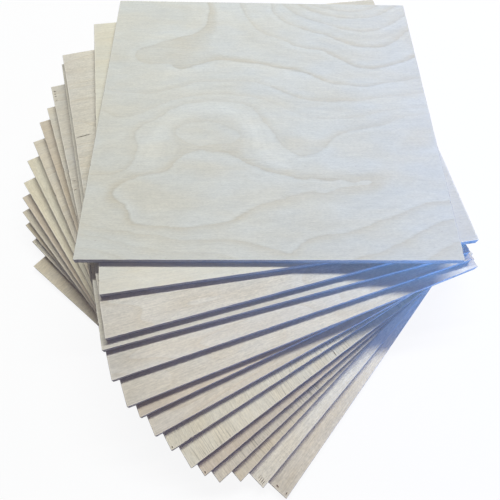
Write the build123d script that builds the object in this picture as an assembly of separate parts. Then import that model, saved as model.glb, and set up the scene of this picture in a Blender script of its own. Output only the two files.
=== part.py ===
# A fanned stack of square birch plywood sheets.
# Millimetres, +Z up. The origin is the middle of the lowest sheet's underside.
# The top sheet's sides lie along X and Y, and its front faces -Y.
import os

from build123d import *

# Driving dimensions of one sheet
SHEET_SIDE = 305.0
SHEET_THICKNESS = 5.7
# The sanded arris along each face's edges
ARRIS = 0.3

# How each sheet lies, from the lowest up: its turn in degrees, and how far its middle
# is to the right of and behind the lowest sheet's middle.
LAID = [
    (50.0, 0.0, 0.0),
    (46.0, -3.0, 8.5),
    (43.25, -10.0, 13.0),
    (40.0, -13.5, 12.0),
    (37.5, -15.0, 15.5),
    (35.0, -15.5, 19.5),
    (31.5, -17.0, 28.5),
    (28.0, -16.0, 34.5),
    (24.75, -15.5, 43.0),
    (21.5, -13.0, 45.0),
    (18.75, -15.5, 58.5),
    (15.5, -13.0, 73.5),
    (15.75, -11.0, 81.0),
    (9.0, 3.0, 99.5),
    (0.0, 6.5, 104.0),
]


def make_sheet():
    """One sheet on its own, its underside's middle at the origin."""
    sheet = extrude(Rectangle(SHEET_SIDE, SHEET_SIDE), SHEET_THICKNESS)
    rims = sheet.faces().filter_by(Axis.Z).edges()
    return chamfer(rims, ARRIS)


def place_sheet(level, turn, right, behind):
    """The sheet at its level in the stack, face to face with the one below."""
    height = level * SHEET_THICKNESS
    return Pos(right, behind, height) * Rot(0, 0, turn) * make_sheet()


os.makedirs("parts", exist_ok=True)
for level, (turn, right, behind) in enumerate(LAID):
    sheet = place_sheet(level, turn, right, behind)
    export_step(sheet, f"parts/sheet_{level + 1:02d}.step")
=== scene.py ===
import math

import bpy
import numpy as np
from mathutils import Matrix, Vector
from mathutils.geometry import delaunay_2d_cdt


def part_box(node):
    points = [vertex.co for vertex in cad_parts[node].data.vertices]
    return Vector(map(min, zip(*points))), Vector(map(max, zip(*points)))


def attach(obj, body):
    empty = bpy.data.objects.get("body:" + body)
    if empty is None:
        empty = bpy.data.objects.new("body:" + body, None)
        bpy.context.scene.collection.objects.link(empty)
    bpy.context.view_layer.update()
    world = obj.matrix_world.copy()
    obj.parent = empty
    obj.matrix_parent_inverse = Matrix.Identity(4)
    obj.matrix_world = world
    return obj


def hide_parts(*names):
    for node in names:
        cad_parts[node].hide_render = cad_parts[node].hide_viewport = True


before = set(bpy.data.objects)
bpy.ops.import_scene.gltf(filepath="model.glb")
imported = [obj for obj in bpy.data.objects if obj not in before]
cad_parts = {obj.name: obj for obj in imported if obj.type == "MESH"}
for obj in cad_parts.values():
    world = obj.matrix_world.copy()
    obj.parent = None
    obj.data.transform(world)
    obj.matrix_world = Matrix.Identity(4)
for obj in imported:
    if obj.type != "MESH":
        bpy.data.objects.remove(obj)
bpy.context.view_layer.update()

MM = 0.001

# One sheet in millimetres: five plies, thin ones outside, with glue between each two. A
# glue line is a groove of that width and depth, and its stain goes that far to each side.
SHEET_SIDE = 305.0
SHEET_THICKNESS = 5.7
OUTER_PLY = 0.75
INNER_PLIES = 3
INNER_PLY = (SHEET_THICKNESS - 2 * OUTER_PLY) / INNER_PLIES
GLUE_LINE = 0.05
GLUE_DEPTH = 0.09
GLUE_STAIN = 0.045
ARRIS = 0.3
HALF = SHEET_SIDE / 2

# What sawing and sanding leave, from least to most: how deep each face is sanded, how
# far outer and inner plies stand back from the outline, the corners' radii, and the
# depths of the splinters torn off the top ply and of the gaps in the inner plies
TOP_SANDED = (0.03, 0.13)
UNDER_SANDED = (0.02, 0.10)
OUTER_SAWN = (0.02, 0.05)
INNER_SAWN = (0.03, 0.08)
CORNER_RADII = (0.15, 0.45)
SPLINTER_DEPTHS = (0.15, 0.45)
GAP_DEPTHS = (0.5, 1.2)
# How far an inner ply's middle strays from its sides, and, as shares of the arris, how
# unevenly it is worn and where its rounding has its middle
FURRING = 0.02
ARRIS_UNEVEN = 0.35
ARRIS_MIDDLE = 0.3

# Columns of vertices along each side and round the outline, and how far in from the
# edge the modelled rim goes
COLUMNS = 204
AROUND = 4 * COLUMNS
RIM = 0.8

# A tear in a face: the points round its outline, how its width varies from point to
# point, and how wide its bed is as a share of its mouth
TEAR_POINTS = 12
TEAR_UNEVEN = (0.7, 1.2)
TEAR_BED = 0.6

# The places in a sheet's materials: its faces, the edges along and across the grain of
# its faces, and torn fibre darkened with painted shade
FACE_SLOT = 0
ALONG_SLOT = 1
ACROSS_SLOT = 2
TORN_SLOT = 3

# What is added to a sheet's level for its random seed, and how far apart the noises of
# two levels lie
SEED = 100
NOISE_STEP = 7.3

# The sheets from the top down, as the picture shows them. The tone is the face's colour,
# the grain runs along or across the sheet's front edge, and grit is how lively the fine
# grain is. Checks are the peeling knife's fine cracks, at right angles to the front edge.
# The ends are painted light and shade: how much paler the face gets to its left and its
# right, in per cent, darker below 0, and where along it the change to the right begins.
# The paler right ends of the lowest sheets are a painted sheen.
LOOKS = [
    dict(tone=(0.633, 0.619, 0.524), grain="along", rings=1.0, checks=0, grit=1.7, ends=(0, 0, 0)),
    dict(tone=(0.750, 0.713, 0.586), grain="along", rings=0.2, checks=0, grit=1.7, ends=(-8, -16, 0)),
    dict(tone=(0.700, 0.655, 0.551), grain="along", rings=0.5, checks=0, grit=3.3, ends=(-9, 0, 0)),
    dict(tone=(0.672, 0.633, 0.526), grain="along", rings=0.3, checks=0, grit=2.4, ends=(-4, 4, 0)),
    dict(tone=(0.723, 0.675, 0.570), grain="along", rings=0.5, checks=0, grit=2.6, ends=(-17, 3, 0)),
    dict(tone=(0.713, 0.656, 0.534), grain="along", rings=0.3, checks=0, grit=2.9, ends=(-12, 6, 0)),
    dict(tone=(0.671, 0.582, 0.448), grain="along", rings=0.4, checks=0, grit=2.4, ends=(-12, 0, 0)),
    dict(tone=(0.685, 0.614, 0.483), grain="along", rings=0.6, checks=0.15, grit=2.6, ends=(-3, 8, 0)),
    dict(tone=(0.716, 0.657, 0.500), grain="across", rings=0.2, checks=0.50, grit=2.9, ends=(-4, 0, 0)),
    dict(tone=(0.748, 0.684, 0.520), grain="across", rings=0.2, checks=0.60, grit=2.6, ends=(-3, -14, -100)),
    dict(tone=(0.610, 0.523, 0.395), grain="across", rings=0.2, checks=0.40, grit=2.6, ends=(6, 0, 0)),
    dict(tone=(0.617, 0.548, 0.419), grain="across", rings=0.2, checks=0.80, grit=3.0, ends=(8, -10, -100)),
    dict(tone=(0.659, 0.578, 0.425), grain="across", rings=0.2, checks=0.50, grit=2.6, ends=(0, 0, 0)),
    dict(tone=(0.752, 0.691, 0.545), grain="along", rings=0.1, checks=0.20, grit=3.6, ends=(0, 8, -100)),
    dict(tone=(0.690, 0.616, 0.473), grain="along", rings=0.2, checks=0.15, grit=3.4, ends=(-8, 33, -100)),
]

# Where the painted light and shade at a face's left end gives way to its middle, how long
# that change to its right is, and how far in from the edge its rim is painted paler as a highlight
LEFT_END = (-148.0, -110.0)
RIGHT_CHANGE = 150.0
HIGHLIGHT_RIM = 1.4

# The checks: how far apart they are, how dark one of full strength is, where along a
# sheet they close up and where they get stronger, how much stronger they get, and how
# far in from the front they fade
CHECKS_APART = 2.2
CHECKS_DARK = 0.5
CHECKS_CLOSE = (20.0, 90.0)
CHECKS_STRONG = (40.0, 100.0)
CHECKS_RISE = 1.8
CHECKS_FADE = 20.0

# Pairs of colours that a material swings between, and single ones
LONG_GRAIN = (0.54, 0.52, 0.49), (0.44, 0.415, 0.375)
END_GRAIN = (0.44, 0.405, 0.355), (0.32, 0.285, 0.24)
# Torn fibre's browns, darkened further with painted shade of the narrow pits
TORN_FIBRE_AND_SHADE = (0.31, 0.25, 0.18), (0.19, 0.14, 0.10)
COOL_AND_WARM = (0.985, 1.0, 1.025), (1.012, 0.997, 0.97)
FLOOR_GREYS = (0.86, 0.86, 0.86), (0.90, 0.90, 0.90)
GLUE_COLOUR = (0.20, 0.145, 0.10)
FLECK_COLOUR = (0.26, 0.17, 0.09)

# How high the relief is on a sanded face and on sawn or torn wood, and how shiny wood is
SANDED_RELIEF = 0.02
SAWN_RELIEF = 0.05
SHINE = 0.3

# Splits and tears in a face, by the sheet's place from the top: the tear's middle across
# and along the sheet, its angle in degrees, then its length, width and depth
TEARS = {
    3: [(-144.0, 41.7, 5, 15.0, 0.75, 0.60)],
    5: [
        (-150.0, 145.3, 0, 2.8, 0.85, 0.45),
        (-150.1, 141.3, 4, 2.4, 0.80, 0.40),
        (-149.9, 138.4, -3, 2.8, 0.75, 0.40),
        (-150.2, 132.2, 2, 2.4, 0.80, 0.45),
        (-149.3, 31.2, -12, 4.0, 0.60, 0.25),
        (-149.6, 21.5, 9, 3.6, 0.60, 0.25),
    ],
    9: [
        (-150.8, -150.6, 90, 1.5, 0.90, 0.60),
        (-5.4, -149.2, 90, 2.6, 0.35, 0.25),
        (-3.4, -149.4, 90, 2.2, 0.35, 0.25),
    ],
    10: [(-11.4, -148.8, 86, 4.2, 0.60, 0.40)],
    11: [(-150.7, -150.4, 80, 1.8, 1.00, 0.60)],
    12: [(-31.0, -149.2, 90, 2.4, 0.50, 0.35)],
    14: [
        (-148.9, -145.2, 0, 3.2, 0.45, 0.30),
        (-149.3, -146.9, 2, 4.6, 0.55, 0.35),
        (-149.2, -148.6, 0, 4.8, 0.55, 0.35),
        (-149.5, -150.2, -2, 4.0, 0.50, 0.35),
    ],
    15: [
        (-150.0, -141.9, 80, 2.8, 1.40, 0.30),
        (-149.6, -150.4, 5, 2.2, 1.10, 0.35),
    ],
}
# Nicks in an outline: the side counted from the front, the place along it and the depth
NICKS = {1: [(1, -97.6, 0.9)]}

# The light on the object, in metres, watts and degrees, placed from the middle of the top
# sheet's face. The key is one long narrow lamp above and behind, and four bluer ones fill
# from the right and the front.
AMBIENT = 0.145
AMBIENT_COLOUR = (1.0, 0.92, 1.0)
KEY_AT = (0.30, 1.25, 2.30)
KEY_SIZE = (2.7, 0.18)
KEY_ALONG = (0.99, 0.14, 0.0)
KEY_WATTS = 75.5
KEY_COLOUR = (0.96, 1.0, 0.978)
SIDE_AT = (0.50, 0.15, 0.16)
SIDE_SIZE = (0.40, 0.20)
SIDE_WATTS = 0.64
SIDE_COLOUR = (0.02, 0.05, 1.0)
LOW_AT = (0.62, -1.00, 0.165)
LOW_TOWARDS = (0.39, -0.15, 0.10)
LOW_CONE = 53.0
LOW_RADIUS = 0.1
LOW_WATTS = 98.0
LOW_COLOUR = (0.065, 0.335, 1.0)
FRONT_AT = (0.10, -1.00, 0.55)
FRONT_SIZE = (0.80, 0.40)
FRONT_WATTS = 0.8
FRONT_COLOUR = (0.05, 0.14, 1.0)
RIGHT_AT = (0.75, -0.30, 0.10)
RIGHT_SIZE = (0.30, 0.12)
RIGHT_WATTS = 1.34
RIGHT_COLOUR = (0.32, 0.34, 1.0)
# How far the floor goes each way in metres, and its share of plain white where it is
# seen, which leaves it a faint shadow
FLOOR_REACH = 6.0
FLOOR_WHITE = 0.91

# The camera, fitted to the sheets' corners: where it looks from the middle of the top
# sheet's face, how far off it stands, and how it is turned, in millimetres and degrees
LOOKS_AT = (-16.25, -143.8, 0.0)
DISTANCE = 343.0
ELEVATION = 64.04
AZIMUTH = -3.18
ROLL = 3.02
# Its focal length and the picture's width in pixels, the width of its sensor in
# millimetres, and the nearest that it sees in metres
FOCAL_PIXELS = 438.5
PICTURE_PIXELS = 500
SENSOR = 36.0
NEAREST = 0.01

# The top sheet's growth rings where the peeled face cuts them, as lines on the face in
# millimetres from its middle. The first number is the ring's count, the second how
# plainly it shows along that stretch.
RING_LINES = [
    (0, 0.4, [(51, 152), (63, 146), (75, 143), (92, 140), (108, 142), (120, 148)]),
    (1, 0.6, [(37, 152), (47, 144), (59, 137), (71, 133), (87, 130), (102, 130), (116, 133),
              (130, 140), (140, 148)]),
    (2, 0.5, [(20, 152), (26, 144), (37, 134), (51, 126), (67, 120), (77, 115), (89, 111),
              (102, 109), (114, 111), (126, 116), (138, 124), (150, 134)]),
    (3, 0.5, [(9, 152), (9, 142), (14, 132), (22, 123), (32, 116)]),
    (3, 0.9, [(43, 111), (55, 106), (67, 102), (81, 93), (92, 88), (106, 86), (122, 88)]),
    (3, 0.6, [(136, 96), (150, 111)]),
    (4, 0.5, [(-25, 152), (-22, 142), (-18, 130), (-12, 118), (-4, 108), (8, 100), (20, 95)]),
    (4, 0.8, [(30, 87), (43, 83), (57, 81)]),
    (4, 1.0, [(67, 74), (77, 67), (87, 60), (102, 56), (118, 58), (134, 64), (150, 72)]),
    (5, 0.8, [(-60, 152), (-58, 132), (-59, 118), (-63, 110), (-71, 103), (-83, 98)]),
    (5, 0.5, [(-102, 90), (-114, 84), (-122, 80), (-128, 72), (-125, 64), (-118, 60),
              (-106, 59), (-94, 59)]),
    (5, 1.0, [(-87, 54), (-81, 52), (-73, 55), (-65, 58), (-55, 62), (-47, 65), (-30, 64),
              (-14, 62), (0, 59), (20, 54), (34, 51), (45, 46), (53, 41)]),
    (5, 0.7, [(63, 36), (75, 34), (92, 32), (104, 33), (114, 36)]),
    (5, 0.4, [(124, 38), (140, 41), (150, 43)]),
    (6, 0.3, [(-152, 26), (-142, 22), (-122, 20), (-102, 21), (-92, 25), (-77, 30),
              (-65, 35), (-51, 36), (-30, 37), (-10, 36), (0, 32)]),
    (6, 0.7, [(10, 27), (22, 20), (34, 15), (45, 13), (61, 12), (75, 13)]),
    (6, 0.3, [(92, 14), (108, 18), (124, 20), (140, 22), (150, 24)]),
    (7, 0.3, [(-152, -1), (-140, -8), (-126, -9), (-114, -5), (-104, 2), (-94, 8), (-81, 13),
              (-65, 17), (-47, 19), (-26, 18), (-14, 17), (-2, 13)]),
    (7, 0.2, [(8, 8), (18, 3), (30, -4), (43, -9), (61, -10), (75, -8), (92, -5), (104, -1),
              (116, 2), (132, 4), (150, 5)]),
    (8, 0.4, [(-152, -74), (-140, -73), (-130, -72), (-121, -67), (-115, -53), (-115, -39),
              (-117, -26), (-112, -19), (-104, -14), (-96, -8), (-89, -1), (-77, 6),
              (-65, 9), (-51, 11), (-37, 11), (-22, 8), (-12, 2)]),
    (8, 0.5, [(-6, -8), (2, -20), (8, -31), (16, -44), (28, -52), (41, -50), (51, -43),
              (57, -35), (65, -28), (77, -23), (92, -20), (104, -17)]),
    (8, 0.2, [(120, -10), (132, -5), (150, -3)]),
    (9, 0.3, [(-82, -24), (-74, -18), (-61, -15), (-49, -15), (-39, -19), (-30, -24),
              (-24, -29), (-28, -36), (-39, -39), (-51, -40), (-65, -40), (-76, -35),
              (-81, -30)]),
    (9, 0.7, [(-65, -48), (-74, -53), (-80, -60), (-85, -67), (-98, -72), (-112, -76),
              (-122, -81)]),
    (9, 1.0, [(-129, -89), (-126, -97), (-119, -103), (-114, -112), (-109, -120)]),
    (9, 0.7, [(-92, -123), (-71, -124), (-51, -122), (-35, -119), (-22, -111)]),
    (9, 0.5, [(-10, -104), (6, -98), (20, -93), (37, -89), (61, -85), (81, -82)]),
    (9, 0.9, [(89, -79), (81, -77), (61, -77), (43, -77), (26, -76), (14, -72), (0, -69),
              (-12, -63), (-22, -58), (-32, -51), (-43, -48), (-55, -47)]),
    (8, 0.6, [(16, -146), (26, -137), (41, -131), (61, -128), (77, -123), (92, -116),
              (108, -110), (124, -102), (136, -99), (150, -97)]),
    (7, 0.6, [(69, -150), (87, -145), (102, -138), (112, -133), (124, -126), (138, -119),
              (150, -115)]),
    (6, 0.5, [(126, -150), (136, -143), (148, -137)]),
    (8, 0.3, [(-152, -119), (-140, -123), (-128, -126), (-112, -128), (-92, -130)]),
    (7, 0.2, [(-152, -130), (-132, -133), (-116, -138), (-102, -142), (-81, -145),
              (-61, -146), (-41, -147)]),
]
# Places between the lines where the ring count is known: hill tops, open ground, and the
# brown patches just short of a line
RING_SPOTS = [
    (5.5, [(-150, 150), (-145, 110), (-140, 50), (-110, 120)]),
    (4.55, [(-35, 100), (-20, 82), (-38, 132)]),
    (4.93, [(-110, 70), (-95, 75), (-78, 75), (-68, 90), (-53, 112), (-52, 135)]),
    (9.3, [(-55, -27)]),
    (9.5, [(-80, -95), (-30, -90)]),
    (9.12, [(40, -81)]),
    (8.96, [(-52, -43), (-40, -43), (128, -38)]),
    (8.3, [(0, -50), (80, -50), (150, -60), (-100, -45)]),
    (7.94, [(22, -28), (28, -38), (36, -44)]),
    (7.86, [(-140, -50)]),
]
# How loosely the count keeps to those places, how far round a line its plainness carries,
# how far a line wanders and how far it fades to each side, how wide the bands beside it
# are, how many fine lines a ring has and how long they are, and the least rings to a
# millimetre that a width is worked out for
RING_STIFFNESS = 1e-4
RING_REACH = 6.0
RING_WANDER = 0.9
RING_SIDE = 2.0
RING_BAND = 9.0
FINE_LINES = 9.0
FINE_LENGTH = 50.0
LEAST_SLOPE = 0.004
# How many rings the other sheets' noise runs through
LOOSE_RINGS = 9.0
# The face's places are worked out in this many lots, to save memory
LOTS = 16
# Paler and darker arcs of young wood on the top sheet: how much paler in per cent, how
# wide in millimetres, and the line each follows
ARCS = [
    (7.5, 8.0, [(-100, -62), (-102, -45), (-97, -28), (-85, -12), (-70, -3), (-55, 1),
                (-40, 1), (-28, -4), (-18, -13), (-11, -25), (-6, -38), (1, -50), (12, -60)]),
    (3.0, 5.0, [(-90, 46), (-60, 53), (-30, 58), (0, 53), (28, 44)]),
    (2.5, 7.0, [(-72, 146), (-70, 124), (-76, 110), (-92, 103), (-112, 94)]),
    (2.5, 9.0, [(-38, 132), (-34, 108), (-28, 84), (-5, 76)]),
    (2.0, 6.0, [(-98, -112), (-60, -114), (-32, -106)]),
    (2.5, 8.0, [(118, -22), (134, -30), (150, -34)]),
    (-4.0, 2.4, [(66, 150), (80, 139), (96, 136), (112, 140), (124, 148)]),
    (-3.5, 2.4, [(42, 147), (54, 138), (68, 129), (84, 125), (102, 124), (118, 128),
                 (134, 138)]),
    (-4.0, 2.4, [(30, 138), (44, 127), (60, 119), (78, 108), (94, 101), (108, 99),
                 (122, 102), (138, 111)]),
    (-3.0, 2.4, [(50, 97), (66, 90), (80, 80), (96, 72), (112, 71), (130, 78)]),
    (-3.0, 2.4, [(-60, 26), (-30, 28), (0, 22), (20, 12), (44, 3), (80, 2), (120, 9)]),
]


def spline_weights(points, values):
    """The thin-plate spline through values at points, as weights and a plane."""
    reach = np.linalg.norm(points[:, None] - points[None], axis=2)
    kernel = reach**2 * np.log(np.maximum(reach, 1e-9))
    kernel += RING_STIFFNESS * np.eye(len(points))
    plane = np.column_stack([np.ones(len(points)), points])
    left = np.block([[kernel, plane], [plane.T, np.zeros((3, 3))]])
    return np.linalg.solve(left, np.append(values, [0, 0, 0]))


def ring_figure(places):
    """How many growth rings in from the first line each place on the top face lies, how
    many rings the count climbs there in a millimetre, and how plainly the lines show."""
    known = [(x, y, count) for count, _, line in RING_LINES for x, y in line]
    known += [(x, y, count) for count, spots in RING_SPOTS for x, y in spots]
    known = np.array(known, float)
    points = known[:, :2] / HALF
    plain = np.array([shown for _, shown, line in RING_LINES for _ in line])
    weights = spline_weights(points, known[:, 2])
    counts = []
    slopes = []
    depths = []
    for lot in np.array_split(np.asarray(places, float) / HALF, LOTS):
        away = lot[:, None] - points[None]
        square = np.maximum((away**2).sum(axis=2), 1e-18)
        logs = np.log(square)
        counts.append(0.5 * square * logs @ weights[:-3] + weights[-3] + lot @ weights[-2:])
        pull = (logs + 1) * weights[:-3]
        climb = (pull[..., None] * away).sum(axis=1) + weights[-2:]
        slopes.append(np.linalg.norm(climb, axis=1) / HALF)
        near = 1 / (square[:, :len(plain)] + (RING_REACH / HALF) ** 2) ** 2
        depths.append(near @ plain / near.sum(axis=1))
    return np.concatenate(counts), np.concatenate(slopes), np.concatenate(depths)


def arc_shares(places):
    """How much paler, or darker below 0, the arcs make each place on the top face."""
    shares = np.zeros(len(places))
    for paler, width, line in ARCS:
        reach = np.full(len(places), SHEET_SIDE)
        for start, end in zip(np.array(line[:-1], float), np.array(line[1:], float)):
            along = end - start
            share = np.clip((places - start) @ along / (along @ along), 0, 1)
            away = places - start - share[:, None] * along
            reach = np.minimum(reach, np.linalg.norm(away, axis=1))
        shares += paler / 100 * np.exp(-((reach / width) ** 2))
    return shares


def drift(rng, step):
    """Smooth values from -1 to 1 round the outline, new about every so many columns."""
    knots = rng.uniform(-1, 1, max(4, round(AROUND / step)))
    where = np.arange(AROUND) / AROUND * len(knots)
    low = np.floor(where).astype(int)
    part = where - low
    part = part * part * (3 - 2 * part)
    return knots[low % len(knots)] * (1 - part) + knots[(low + 1) % len(knots)] * part


def uneven(rng, limits, step):
    """Smooth values between two limits round the outline, turning as drift does."""
    least, most = limits
    return least + (most - least) / 2 * (1 + drift(rng, step))


def corner_point(radius, angle):
    """How far along a side and in from it, from the sharp corner, a point of the rounding
    lies. The angle is 0 degrees where the rounding meets the side, and 45 in its middle."""
    angle = math.radians(angle)
    return radius * (1 - math.sin(angle)), radius * (1 - math.cos(angle))


def outline(rng):
    """The sheet's outline seen from above, counter-clockwise from the front left corner's
    middle, with each corner worn round a little differently."""
    radii = rng.uniform(*CORNER_RADII, 4)
    points = []
    for side in range(4):
        start, end = radii[side], radii[(side + 1) % 4]
        along = [corner_point(start, 45), corner_point(start, 22)]
        along += [(place, 0.0) for place in np.linspace(start, SHEET_SIDE - end, COLUMNS - 3)]
        short, inward = corner_point(end, 22)
        along.append((SHEET_SIDE - short, inward))
        cosine, sine = math.cos(math.radians(90 * side)), math.sin(math.radians(90 * side))
        for place, inward in along:
            x, y = place - HALF, inward - HALF
            points.append((x * cosine - y * sine, x * sine + y * cosine))
    return np.array(points)


def worn_arris(rng, face, into, chips):
    """The rows from just inside a face out over its worn arris. Into is the direction
    from the face into the wood: 1 is up and -1 is down."""
    worn = ARRIS * (1 + ARRIS_UNEVEN * drift(rng, step=3))
    middle = ARRIS_MIDDLE * worn
    return [
        (RIM, face),
        (chips + worn, face),
        (chips + middle, face + into * middle),
        (chips, face + into * worn),
    ]


def rim_rows(rng, chips):
    """The rim's profile from just inside the top face, out over the edge and down the
    plies, to the underside: each row's inset from the outline and height, by column."""
    top = SHEET_THICKNESS - uneven(rng, TOP_SANDED, step=60)
    under = uneven(rng, UNDER_SANDED, step=60)
    rows = worn_arris(rng, top, -1, chips)
    level = SHEET_THICKNESS - OUTER_PLY
    rows.append((chips + uneven(rng, OUTER_SAWN, step=1.5), level + GLUE_LINE / 2))
    for _ in range(INNER_PLIES):
        rows.append((GLUE_DEPTH, level))
        sawn = uneven(rng, INNER_SAWN, step=1.2) + core_gaps(rng)
        rows.append((sawn, level - GLUE_LINE / 2))
        rows.append((sawn + FURRING * drift(rng, step=1), level - INNER_PLY / 2))
        level -= INNER_PLY
        rows.append((sawn, level + GLUE_LINE / 2))
    rows.append((GLUE_DEPTH, level))
    rows.append((OUTER_SAWN[0], level - GLUE_LINE / 2))
    rows += reversed(worn_arris(rng, under, 1, 0.0))
    flat = np.zeros(AROUND)
    return [(flat + inset, flat + height) for inset, height in rows]


def core_gaps(rng):
    """Short gaps in an inner ply, where a knot or a butt joint of the core was sawn open."""
    depth = np.zeros(AROUND)
    for _ in range(rng.integers(1, 4)):
        start = rng.integers(0, AROUND - 4)
        width = rng.integers(1, 3)
        depth[start:start + width] = rng.uniform(*GAP_DEPTHS)
    return depth


def torn_edges(rng, look, nicks):
    """Small splinters torn out of the top ply where the saw crossed its grain, and nicks."""
    chips = np.zeros(AROUND)
    crossed = (1, 3) if look["grain"] == "along" else (0, 2)
    for side in crossed:
        for _ in range(rng.integers(3, 8)):
            start = side * COLUMNS + rng.integers(6, COLUMNS - 8)
            chips[start] = rng.uniform(*SPLINTER_DEPTHS)
    for side, place, depth in nicks:
        column = round((place + HALF) / SHEET_SIDE * COLUMNS)
        chips[side * COLUMNS + column] = depth
    return chips


def edge_slot(column, look):
    """The material of the edge at a column, by which way the faces' grain runs there."""
    at_front_or_back = column // COLUMNS in (0, 2)
    return ALONG_SLOT if at_front_or_back == (look["grain"] == "along") else ACROSS_SLOT


def rim_faces(row_count, look):
    """The faces between the rim's rows and the underside's own, each with its material."""
    faces = []
    slots = []
    for row in range(row_count - 1):
        on_face = row in (0, row_count - 2)
        for column in range(AROUND):
            here = row * AROUND + column
            after = row * AROUND + (column + 1) % AROUND
            faces.append((after, here, here + AROUND, after + AROUND))
            slots.append(FACE_SLOT if on_face else edge_slot(column, look))
    under = (row_count - 1) * AROUND
    faces.append([under + column for column in reversed(range(AROUND))])
    slots.append(FACE_SLOT)
    return faces, slots


def face_with_tears(points, tears, rng):
    """The flat face inside the rim, with each tear cut down into it as a narrow pit."""
    if not tears:
        return points, [list(range(AROUND))], [FACE_SLOT]
    height = points[:AROUND, 2].mean()
    flat = [tuple(point) for point in points[:AROUND, :2]]
    number = list(range(AROUND))
    loops = [list(range(AROUND))]
    faces = []
    turn = np.arange(TEAR_POINTS) * 2 * math.pi / TEAR_POINTS
    for x, y, angle, length, width, depth in tears:
        ragged = rng.uniform(*TEAR_UNEVEN, TEAR_POINTS)
        lengthways = np.cos(turn) * length / 2
        sideways = np.sin(turn) * np.abs(np.sin(turn)) * width / 2 * ragged
        cosine, sine = math.cos(math.radians(angle)), math.sin(math.radians(angle))
        turned = np.array([[cosine, sine], [-sine, cosine]])
        loop = np.column_stack([lengthways, sideways]) @ turned
        mouth = np.column_stack([loop + (x, y), np.full(TEAR_POINTS, height)])
        bed = np.column_stack([TEAR_BED * loop + (x, y), np.full(TEAR_POINTS, height - depth)])
        first = len(points)
        low = first + TEAR_POINTS
        points = np.concatenate([points, mouth, bed])
        loops.append(list(range(len(flat), len(flat) + TEAR_POINTS)))
        flat += [tuple(point) for point in mouth[:, :2]]
        number += range(first, low)
        for step in range(TEAR_POINTS):
            after = (step + 1) % TEAR_POINTS
            faces.append((first + step, first + after, low + after, low + step))
        faces.append([low + step for step in range(TEAR_POINTS)])
    slots = [TORN_SLOT] * len(faces)
    inside_only = 1
    cut = delaunay_2d_cdt([Vector(point) for point in flat], [], loops, inside_only, 1e-6)
    triangles, sources, owners = cut[2], cut[3], cut[5]
    # The triangles that lie inside no tear's mouth have the outline as their one owner
    for triangle, owner in zip(triangles, owners):
        if max(owner) == 0:
            faces.append([number[sources[corner][0]] for corner in triangle])
            slots.append(FACE_SLOT)
    return points, faces, slots


def face_grid(points):
    """A grid inside the top face's rim, whose border is the rim's own first row."""
    side = COLUMNS
    index = np.zeros((side + 1, side + 1), int)
    steps = np.arange(side)
    index[0, :side] = steps
    index[:side, side] = side + steps
    index[side, side - steps] = 2 * side + steps
    index[side - steps, 0] = (3 * side + steps) % AROUND
    inner = np.arange((side - 1) ** 2).reshape(side - 1, side - 1)
    index[1:side, 1:side] = len(points) + inner
    reach = HALF - RIM
    spots = np.linspace(-reach, reach, side + 1)[1:side]
    x, y = np.meshgrid(spots, spots)
    height = np.full(x.size, points[:AROUND, 2].mean())
    added = np.column_stack([x.ravel(), y.ravel(), height])
    grid = []
    for front, behind in zip(index[:-1], index[1:]):
        for left in range(side):
            grid.append((front[left], front[left + 1], behind[left + 1], behind[left]))
    return np.concatenate([points, added]), grid


def hold_figure(mesh, points):
    """Stores the ring figure's values and the arcs' shares at the points of a mesh."""
    places = points[:, :2]
    titles = ("ring_count", "ring_slope", "ring_depth", "arc_share")
    for title, values in zip(titles, (*ring_figure(places), arc_shares(places))):
        held = mesh.attributes.new(title, "FLOAT", "POINT")
        held.data.foreach_set("value", values.astype(np.float32))


def sheet_mesh(name, rng, place, look, figured):
    """One plywood sheet in its own frame. The top sheet's face is a fine grid that holds
    its growth rings, and the others' faces are flat inside the rim, but for their tears."""
    ring = outline(rng)
    rows = rim_rows(rng, torn_edges(rng, look, NICKS.get(place, [])))
    layers = []
    for inset, height in rows:
        shrink = 1 - inset / HALF
        layers.append(np.column_stack([ring * shrink[:, None], height]))
    points = np.concatenate(layers)
    faces, slots = rim_faces(len(rows), look)
    if figured:
        points, top_faces = face_grid(points)
        top_slots = [FACE_SLOT] * len(top_faces)
    else:
        points, top_faces, top_slots = face_with_tears(points, TEARS.get(place, []), rng)
    mesh = bpy.data.meshes.new(name)
    mesh.from_pydata((points * MM).tolist(), [], [tuple(face) for face in faces + top_faces])
    mesh.polygons.foreach_set("material_index", slots + top_slots)
    if figured:
        hold_figure(mesh, points)
    mesh.update()
    return mesh


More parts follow.
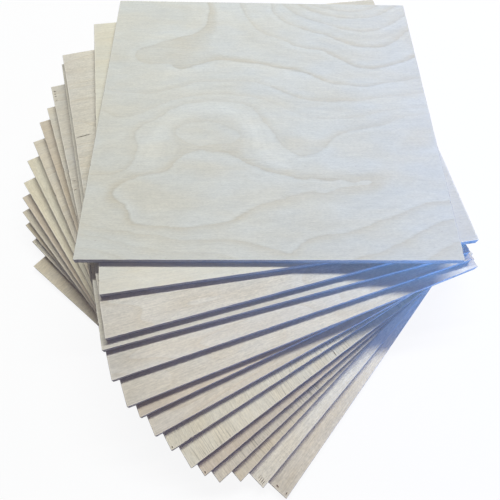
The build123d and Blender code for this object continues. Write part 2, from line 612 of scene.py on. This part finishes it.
class Graph:
    """Adds nodes to the tree of a material or of the world, and links or sets what each
    is given."""

    def __init__(self, owner):
        owner.use_nodes = True
        self.owner = owner
        self.tree = owner.node_tree
        self.tree.nodes.clear()

    def node(self, kind, feeds=None, **settings):
        made = self.tree.nodes.new(kind)
        for name, value in settings.items():
            setattr(made, name, value)
        for socket, value in (feeds or {}).items():
            self.feed(made.inputs[socket], value)
        return made

    def feed(self, socket, value):
        if isinstance(value, bpy.types.NodeSocket):
            self.tree.links.new(value, socket)
        else:
            socket.default_value = value

    def math(self, operation, *values):
        feeds = dict(enumerate(values))
        return self.node("ShaderNodeMath", feeds, operation=operation).outputs[0]

    def place(self, turn=0.0):
        """A point's place in its object's frame in millimetres, turned about Z."""
        local = self.node("ShaderNodeTexCoord").outputs["Object"]
        feeds = {"Vector": local, "Scale": (1 / MM,) * 3, "Rotation": (0, 0, turn)}
        return self.node("ShaderNodeMapping", feeds).outputs[0]

    def parts(self, place):
        """A place's three numbers."""
        return self.node("ShaderNodeSeparateXYZ", {"Vector": place}).outputs

    def held(self, title):
        """The value that the mesh's points hold under a title."""
        return self.node("ShaderNodeAttribute", attribute_name=title).outputs["Fac"]

    def noise(self, place, size, seed, detail=2.0, roughness=0.5):
        """Noise from 0 to 1 whose blobs have that size in millimetres."""
        feeds = {
            "Vector": place,
            "Location": (seed, -seed, 0.7 * seed),
            "Scale": tuple(1 / length for length in size),
        }
        spread = self.node("ShaderNodeMapping", feeds).outputs[0]
        feeds = {"Vector": spread, "Scale": 1.0, "Detail": detail, "Roughness": roughness}
        return self.node("ShaderNodeTexNoise", feeds).outputs[0]

    def within(self, value, low, high, bottom=0.0, top=1.0):
        """Takes value from low..high to bottom..top smoothly, and holds it beyond."""
        feeds = {
            "Value": value,
            "From Min": low,
            "From Max": high,
            "To Min": bottom,
            "To Max": top,
        }
        return self.node("ShaderNodeMapRange", feeds, interpolation_type="SMOOTHSTEP").outputs[0]

    def mix(self, share, first, second, blend="MIX"):
        """Two colours mixed. The node's sockets go by number, because their names repeat."""
        made = self.node("ShaderNodeMix", data_type="RGBA", blend_type=blend)
        for socket, value in ((0, share), (6, first), (7, second)):
            if isinstance(value, tuple):
                value = (*value, 1.0)
            self.feed(made.inputs[socket], value)
        return made.outputs[2]

    def shade(self, colour, amount):
        """Colour times amount, which is the socket of a number or of a colour."""
        return self.mix(1.0, colour, amount, "MULTIPLY")

    def swing(self, colour, noise, amount):
        """Colour made darker and lighter by a noise, by up to that share."""
        return self.shade(colour, self.within(noise, 0.25, 0.75, 1 - amount, 1 + amount))

    def wood(self, colour, roughness, height, relief):
        """Ends a material as wood with a fine relief, and gives it back."""
        feeds = {"Height": height, "Strength": 1.0, "Distance": relief * MM}
        bump = self.node("ShaderNodeBump", feeds).outputs[0]
        feeds = {
            "Base Color": colour,
            "Roughness": roughness,
            "Normal": bump,
            "Specular IOR Level": SHINE,
        }
        shader = self.node("ShaderNodeBsdfPrincipled", feeds).outputs[0]
        self.node("ShaderNodeOutputMaterial", {"Surface": shader})
        return self.owner


def tinted(tone, tint):
    return tuple(part * share for part, share in zip(tone, tint))


def traced_rings(graph, place, seed):
    """The top sheet's rings: a thin dark line of even width where the count passes a whole
    number, a brown band just short of it and young wood just past it, and fine lines that
    follow the same contours."""
    slope = graph.held("ring_slope")
    depth = graph.held("ring_depth")
    wander = graph.noise(place, (26, 3.0, 40), seed, 3, 0.6)
    moved = graph.within(wander, 0.2, 0.8, -RING_WANDER, RING_WANDER)
    count = graph.math("ADD", graph.held("ring_count"), graph.math("MULTIPLY", moved, slope))
    late = graph.math("FRACT", count)
    slope = graph.math("MAXIMUM", slope, LEAST_SLOPE)
    past = graph.math("DIVIDE", late, slope)
    before = graph.math("DIVIDE", graph.math("SUBTRACT", 1.0, late), slope)

    line = graph.within(graph.math("MINIMUM", past, before), 0.1, RING_SIDE, 1.0, 0.0)
    broken = graph.within(graph.noise(place, (28, 14, 40), seed + 1), 0.33, 0.62, 0.25, 1.0)
    line = graph.math("MULTIPLY", line, graph.math("MULTIPLY", broken, depth))

    band = graph.math("POWER", graph.within(before, 0.0, RING_BAND, 1.0, 0.0), 1.5)
    band = graph.math("MAXIMUM", band, graph.within(late, 0.80, 0.97, 0.0, 0.8))
    feathers = graph.within(graph.noise(place, (30, 1.3, 40), seed + 6), 0.3, 0.7, 0.65, 1.15)
    band = graph.math("MULTIPLY", band, graph.math("MULTIPLY", feathers, depth))

    early = graph.math("MULTIPLY", graph.within(past, 0.5, RING_BAND, 1.0, 0.0), depth)
    lines = graph.math("MULTIPLY", count, FINE_LINES)
    along = graph.math("MULTIPLY", graph.parts(place)[0], 1 / FINE_LENGTH)
    contour = graph.node("ShaderNodeCombineXYZ", {0: lines, 1: along}).outputs[0]
    return line, band, early, graph.noise(contour, (1, 1, 1), seed + 20)


def loose_rings(graph, place, seed):
    """Growth rings on a sheet of which the picture shows only a strip."""
    hills = graph.noise(place, (190, 36, 60), seed, 1)
    count = graph.math("MULTIPLY", hills, LOOSE_RINGS)
    late = graph.math("FRACT", count)
    line = graph.within(late, 0.0, 0.05, 1.0, 0.0)
    band = graph.math("POWER", late, 4.0)
    early = graph.within(late, 0.05, 0.4, 1.0, 0.0)
    return line, band, early, graph.noise(place, (40, 1.6, 40), seed + 20)


def peeling_checks(graph, upright, seed):
    """Fine cracks side by side, each of its own strength, that fade inwards from the front."""
    across, inwards = graph.parts(upright)[:2]
    jitter = graph.math("MULTIPLY", graph.noise(upright, (7, 60, 40), seed, 1), 4.0)
    phase = graph.math("ADD", graph.math("DIVIDE", across, CHECKS_APART), jitter)
    off = graph.math("ABSOLUTE", graph.math("SUBTRACT", graph.math("FRACT", phase), 0.5))
    comb = graph.within(off, 0.0, 0.30, 1.0, 0.0)
    strength = graph.noise(upright, (1.9, 22, 40), seed + 1, 1)
    comb = graph.math("MULTIPLY", comb, graph.within(strength, 0.30, 0.66, 0.15, 1.0))
    patch = graph.noise(upright, (34, 40, 40), seed + 2, 1)
    patch = graph.within(patch, 0.35, 0.62, 0.4, 1.0)
    patch = graph.math("MAXIMUM", patch, graph.within(across, *CHECKS_CLOSE))
    fade = graph.within(inwards, -HALF, CHECKS_FADE - HALF, 1.0, 0.45)
    return graph.math("MULTIPLY", comb, graph.math("MULTIPLY", patch, fade))


def ringed_tone(graph, place, look, seed, figured):
    """A face's tone in paler and deeper clouds, under its growth rings, with a drift from
    cooler to warmer."""
    tone = look["tone"]
    clouds = graph.within(graph.noise(place, (70, 28, 40), seed + 1), 0.25, 0.75)
    pale = tinted(tone, (1.02, 1.025, 1.035))
    deep = tinted(tone, (0.975, 0.965, 0.95))
    colour = graph.mix(clouds, pale, deep)
    rings = traced_rings if figured else loose_rings
    line, band, early, fine = rings(graph, place, seed + 5)
    young = tinted(tone, (1.045, 1.055, 1.08))
    brown = tinted(tone, (0.90, 0.84, 0.75))
    dark = tinted(tone, (0.83, 0.80, 0.76))
    for shown, strength, tint in ((early, 0.6, young), (band, 0.85, brown), (line, 0.65, dark)):
        share = graph.math("MULTIPLY", shown, strength * look["rings"])
        colour = graph.mix(share, colour, tint)
    if figured:
        colour = graph.shade(colour, graph.math("ADD", 1.0, graph.held("arc_share")))
    hues = graph.within(graph.noise(place, (50, 20, 40), seed + 13), 0.3, 0.7)
    colour = graph.shade(colour, graph.mix(hues, *COOL_AND_WARM))
    return graph.swing(colour, fine, 0.02)


def veneer_material(name, look, seed, figured):
    """A sanded birch face: growth rings, fibre streaks, pores, lathe checks, and a rim painted paler as a
    highlight.
    """
    graph = Graph(bpy.data.materials.new(name))
    upright = graph.place()
    place = graph.place(0.0 if look["grain"] == "along" else math.radians(-90))
    across = graph.parts(upright)[0]
    grit = look["grit"]

    colour = ringed_tone(graph, place, look, seed, figured)
    streaks = graph.noise(place, (60, 2.8, 40), seed + 2, 3, 0.6)
    fibres = graph.noise(place, (18, 0.6, 40), seed + 3, 3, 0.65)
    ripple = graph.noise(place, (6, 2.4, 40), seed + 4, 2, 0.6)
    speckle = graph.noise(place, (2.4, 1.0, 40), seed + 12, 2, 0.6)
    colour = graph.swing(colour, streaks, 0.018)
    colour = graph.swing(colour, fibres, 0.028 * grit)
    colour = graph.swing(colour, ripple, 0.016 * grit)
    colour = graph.swing(colour, speckle, 0.028 * grit)

    pores = graph.within(graph.noise(place, (3.2, 0.25, 40), seed + 8, 1), 0.66, 0.76)
    colour = graph.shade(colour, graph.within(pores, 0.0, 1.0, 1.0, 0.88))

    checks = peeling_checks(graph, upright, seed + 9)
    darkness = CHECKS_DARK * look["checks"]
    rise = graph.within(across, *CHECKS_STRONG, darkness, darkness * CHECKS_RISE)
    cracks = graph.math("MULTIPLY", graph.within(checks, 0.0, 1.0), rise)
    colour = graph.shade(colour, graph.math("SUBTRACT", 1.0, cracks))

    # Painted light and shade: the face made paler or darker towards its left and right ends, with a painted
    # sheen where the right end is paler
    left, right, begins = look["ends"]
    left = graph.within(across, *LEFT_END, 1.0 + left / 100, 1.0)
    right = graph.within(across, begins, begins + RIGHT_CHANGE, 1.0, 1.0 + right / 100)
    colour = graph.shade(colour, graph.math("MULTIPLY", left, right))

    flecks = graph.noise(place, (3.5, 0.8, 40), seed + 11, 1)
    colour = graph.mix(graph.within(flecks, 0.79, 0.82, 0.0, 0.4), colour, FLECK_COLOUR)

    # Painted highlight: the face made paler within a little of its outline and over its arris
    away = [graph.math("ABSOLUTE", part) for part in graph.parts(place)[:2]]
    out = graph.math("MAXIMUM", *away)
    rim_highlight = graph.within(out, HALF - HIGHLIGHT_RIM, HALF - ARRIS, 0.0, 0.7)
    colour = graph.mix(rim_highlight, colour, tinted(look["tone"], (1.09, 1.09, 1.09)))

    height = graph.math("ADD", fibres, graph.math("MULTIPLY", pores, -0.6))
    height = graph.math("ADD", height, graph.math("MULTIPLY", checks, -0.8 * look["checks"]))
    roughness = graph.within(fibres, 0.2, 0.8, 0.58, 0.68)
    return graph.wood(colour, roughness, height, SANDED_RELIEF)


def torn_and_shaded_material():
    """Dark fibre at the bottom of a split or tear: torn wood's brown, darkened with painted shade of the
    pit.
    """
    graph = Graph(bpy.data.materials.new("torn_fibre_and_shade"))
    fibre = graph.noise(graph.place(), (1.2, 0.3, 0.3), 21.0)
    colour = graph.mix(graph.within(fibre, 0.3, 0.7), *TORN_FIBRE_AND_SHADE)
    roughness = graph.within(fibre, 0.3, 0.7, 0.75, 0.85)
    return graph.wood(colour, roughness, fibre, SAWN_RELIEF)


def ply_bands(graph, place, outer_long):
    """Where a sawn edge shows end grain, and where it shows glue. The outer plies and the
    middle one show long grain or end grain together, and the two between them the other."""
    wobble = graph.within(graph.noise(place, (9, 9, 9), 3.0, 1), 0.2, 0.8, -0.05, 0.05)
    height = graph.math("ADD", graph.parts(place)[2], wobble)
    ends = 0.0
    glue = 0.0
    for order in range(INNER_PLIES + 1):
        seam = OUTER_PLY + order * INNER_PLY
        above = graph.math("GREATER_THAN", height, seam)
        ends = graph.math("ADD" if order % 2 == 0 else "SUBTRACT", ends, above)
        glue = graph.math("ADD", glue, graph.math("COMPARE", height, seam, GLUE_STAIN))
    if not outer_long:
        ends = graph.math("SUBTRACT", 1.0, ends)
    return ends, glue


def edge_material(name, outer_long):
    """A sawn edge. The plies show long grain and end grain by turns, with glue between."""
    graph = Graph(bpy.data.materials.new(name))
    place = graph.place()
    ends, glue = ply_bands(graph, place, outer_long)
    streaks = graph.noise(place, (24, 24, 0.3), 11.0, 3, 0.6)
    long_colour = graph.mix(graph.within(streaks, 0.25, 0.75), *LONG_GRAIN)
    speckle = graph.noise(place, (0.3, 0.3, 0.3), 12.0)
    end_colour = graph.mix(graph.within(speckle, 0.3, 0.7), *END_GRAIN)
    bars = graph.noise(place, (0.7, 0.7, 9), 13.0)
    end_colour = graph.shade(end_colour, graph.within(bars, 0.3, 0.7, 0.8, 1.08))
    colour = graph.mix(ends, long_colour, end_colour)
    colour = graph.mix(graph.math("MULTIPLY", glue, 0.75), colour, GLUE_COLOUR)
    stains = graph.noise(place, (35, 35, 35), 14.0)
    colour = graph.shade(colour, graph.within(stains, 0.25, 0.75, 0.86, 1.08))
    saw = graph.noise(place, (0.5, 0.5, 12), 15.0, 1)
    height = graph.math("ADD", saw, graph.math("MULTIPLY", speckle, ends))
    roughness = graph.within(speckle, 0.2, 0.8, 0.68, 0.8)
    return graph.wood(colour, roughness, height, SAWN_RELIEF)


def placement(node):
    """Where a CAD sheet lies, by its underside's middle and an edge as long as its side."""
    low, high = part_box(node)
    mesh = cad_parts[node].data
    turn = 0.0
    for edge in mesh.edges:
        start, end = (mesh.vertices[corner].co for corner in edge.vertices)
        along = end - start
        if abs(along.length / MM - SHEET_SIDE) < 3 * ARRIS and abs(along.z) < ARRIS * MM:
            turn = math.degrees(math.atan2(along.y, along.x)) % 90
            break
    # A sheet that isn't turned can come out a hair short of a quarter turn
    if turn > 89:
        turn -= 90
    middle = (low + high) / 2
    spot = Matrix.Translation((middle.x, middle.y, low.z))
    return spot @ Matrix.Rotation(math.radians(turn), 4, "Z")


def build_sheets():
    """A dressed sheet in the place of each CAD one, from the top down."""
    shared = [
        edge_material("edge_along_grain", True),
        edge_material("edge_across_grain", False),
        torn_and_shaded_material(),
    ]
    for place, look in enumerate(LOOKS, start=1):
        level = len(LOOKS) + 1 - place
        node = f"sheet_{level:02d}"
        name = f"plywood_{level:02d}"
        figured = place == 1
        mesh = sheet_mesh(name, np.random.default_rng(SEED + level), place, look, figured)
        veneer = veneer_material(f"veneer_{level:02d}", look, NOISE_STEP * level, figured)
        for material in (veneer, *shared):
            mesh.materials.append(material)
        piece = bpy.data.objects.new(name, mesh)
        bpy.context.scene.collection.objects.link(piece)
        piece.matrix_world = placement(node)
        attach(piece, "root")
        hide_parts(node)


def background_share(graph):
    """1 for rays that see the background directly, in gloss or through glass."""
    rays = graph.node("ShaderNodeLightPath").outputs
    seen = graph.math("MAXIMUM", rays["Is Camera Ray"], rays["Is Glossy Ray"])
    return graph.math("MAXIMUM", seen, rays["Is Transmission Ray"])


def build_floor():
    """A white floor on which the stack keeps a faint shadow."""
    mesh = bpy.data.meshes.new("floor")
    ways = ((-1, -1), (1, -1), (1, 1), (-1, 1))
    corners = [(x * FLOOR_REACH, y * FLOOR_REACH, 0) for x, y in ways]
    mesh.from_pydata(corners, [], [(0, 1, 2, 3)])
    floor = bpy.data.objects.new("floor", mesh)
    bpy.context.scene.collection.objects.link(floor)
    graph = Graph(bpy.data.materials.new("floor_white"))
    paint = graph.mix(graph.noise(graph.place(), (400, 400, 400), 1.0), *FLOOR_GREYS)
    diffuse = graph.node("ShaderNodeBsdfDiffuse", {"Color": paint}).outputs[0]
    glow = graph.node("ShaderNodeEmission", {"Color": (1, 1, 1, 1), "Strength": 1.0}).outputs[0]
    share = graph.math("MULTIPLY", background_share(graph), FLOOR_WHITE)
    mixed = graph.node("ShaderNodeMixShader", {0: share, 1: diffuse, 2: glow}).outputs[0]
    graph.node("ShaderNodeOutputMaterial", {"Surface": mixed})
    mesh.materials.append(graph.owner)


def build_world():
    """White where it is seen, and a dim even light on the object."""
    world = bpy.data.worlds.new("studio")
    bpy.context.scene.world = world
    graph = Graph(world)
    feeds = {"Color": (*AMBIENT_COLOUR, 1.0), "Strength": AMBIENT}
    dim = graph.node("ShaderNodeBackground", feeds).outputs[0]
    feeds = {"Color": (1, 1, 1, 1), "Strength": 1.0}
    white = graph.node("ShaderNodeBackground", feeds).outputs[0]
    feeds = {0: background_share(graph), 1: dim, 2: white}
    mixed = graph.node("ShaderNodeMixShader", feeds).outputs[0]
    graph.node("ShaderNodeOutputWorld", {"Surface": mixed})


def top_middle():
    """The middle of the top sheet's upper face."""
    low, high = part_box(f"sheet_{len(LOOKS):02d}")
    middle = (low + high) / 2
    middle.z = high.z
    return middle


def place_lamp(name, data, at, towards, side):
    """Sets a lamp at a place from the top sheet's middle, facing another, with its long
    side as near as can be to the direction given."""
    lamp = bpy.data.objects.new(name, data)
    bpy.context.scene.collection.objects.link(lamp)
    back = (Vector(at) - Vector(towards)).normalized()
    right = Vector(side)
    right = (right - back * right.dot(back)).normalized()
    up = back.cross(right)
    turned = Matrix((right, up, back)).transposed().to_4x4()
    lamp.matrix_world = Matrix.Translation(top_middle() + Vector(at)) @ turned
    lamp.visible_camera = False


def area_lamp(name, at, size, watts, colour, side):
    data = bpy.data.lights.new(name, "AREA")
    data.shape = "RECTANGLE"
    data.size, data.size_y = size
    data.energy = watts
    data.color = colour
    place_lamp(name, data, at, (0, 0, 0), side)


def spot_lamp(name, at, towards, cone, radius, watts, colour):
    data = bpy.data.lights.new(name, "SPOT")
    data.spot_size = math.radians(cone)
    data.spot_blend = 1.0
    data.shadow_soft_size = radius
    data.energy = watts
    data.color = colour
    place_lamp(name, data, at, towards, (1, 0, 0))


def build_lamps():
    area_lamp("long_lamp", KEY_AT, KEY_SIZE, KEY_WATTS, KEY_COLOUR, KEY_ALONG)
    area_lamp("side_fill", SIDE_AT, SIDE_SIZE, SIDE_WATTS, SIDE_COLOUR, (0, 1, 0))
    area_lamp("front_fill", FRONT_AT, FRONT_SIZE, FRONT_WATTS, FRONT_COLOUR, (1, 0, 0))
    area_lamp("right_fill", RIGHT_AT, RIGHT_SIZE, RIGHT_WATTS, RIGHT_COLOUR, (0, 1, 0))
    spot_lamp("low_fill", LOW_AT, LOW_TOWARDS, LOW_CONE, LOW_RADIUS, LOW_WATTS, LOW_COLOUR)


def build_camera():
    azimuth, elevation, roll = (math.radians(angle) for angle in (AZIMUTH, ELEVATION, ROLL))
    back = Vector(
        (
            math.sin(azimuth) * math.cos(elevation),
            -math.cos(azimuth) * math.cos(elevation),
            math.sin(elevation),
        )
    )
    level = (-back).cross(Vector((0, 0, 1))).normalized()
    upright = back.cross(level)
    right = level * math.cos(roll) + upright * math.sin(roll)
    up = upright * math.cos(roll) - level * math.sin(roll)
    data = bpy.data.cameras.new("camera")
    data.sensor_width = SENSOR
    data.lens = FOCAL_PIXELS / PICTURE_PIXELS * SENSOR
    data.clip_start = NEAREST
    camera = bpy.data.objects.new("camera", data)
    bpy.context.scene.collection.objects.link(camera)
    spot = top_middle() + Vector(LOOKS_AT) * MM + back * DISTANCE * MM
    turned = Matrix((right, up, back)).transposed().to_4x4()
    camera.matrix_world = Matrix.Translation(spot) @ turned
    bpy.context.scene.camera = camera


build_sheets()
build_floor()
build_world()
build_lamps()
build_camera()
bpy.context.scene.view_settings.view_transform = "Standard"
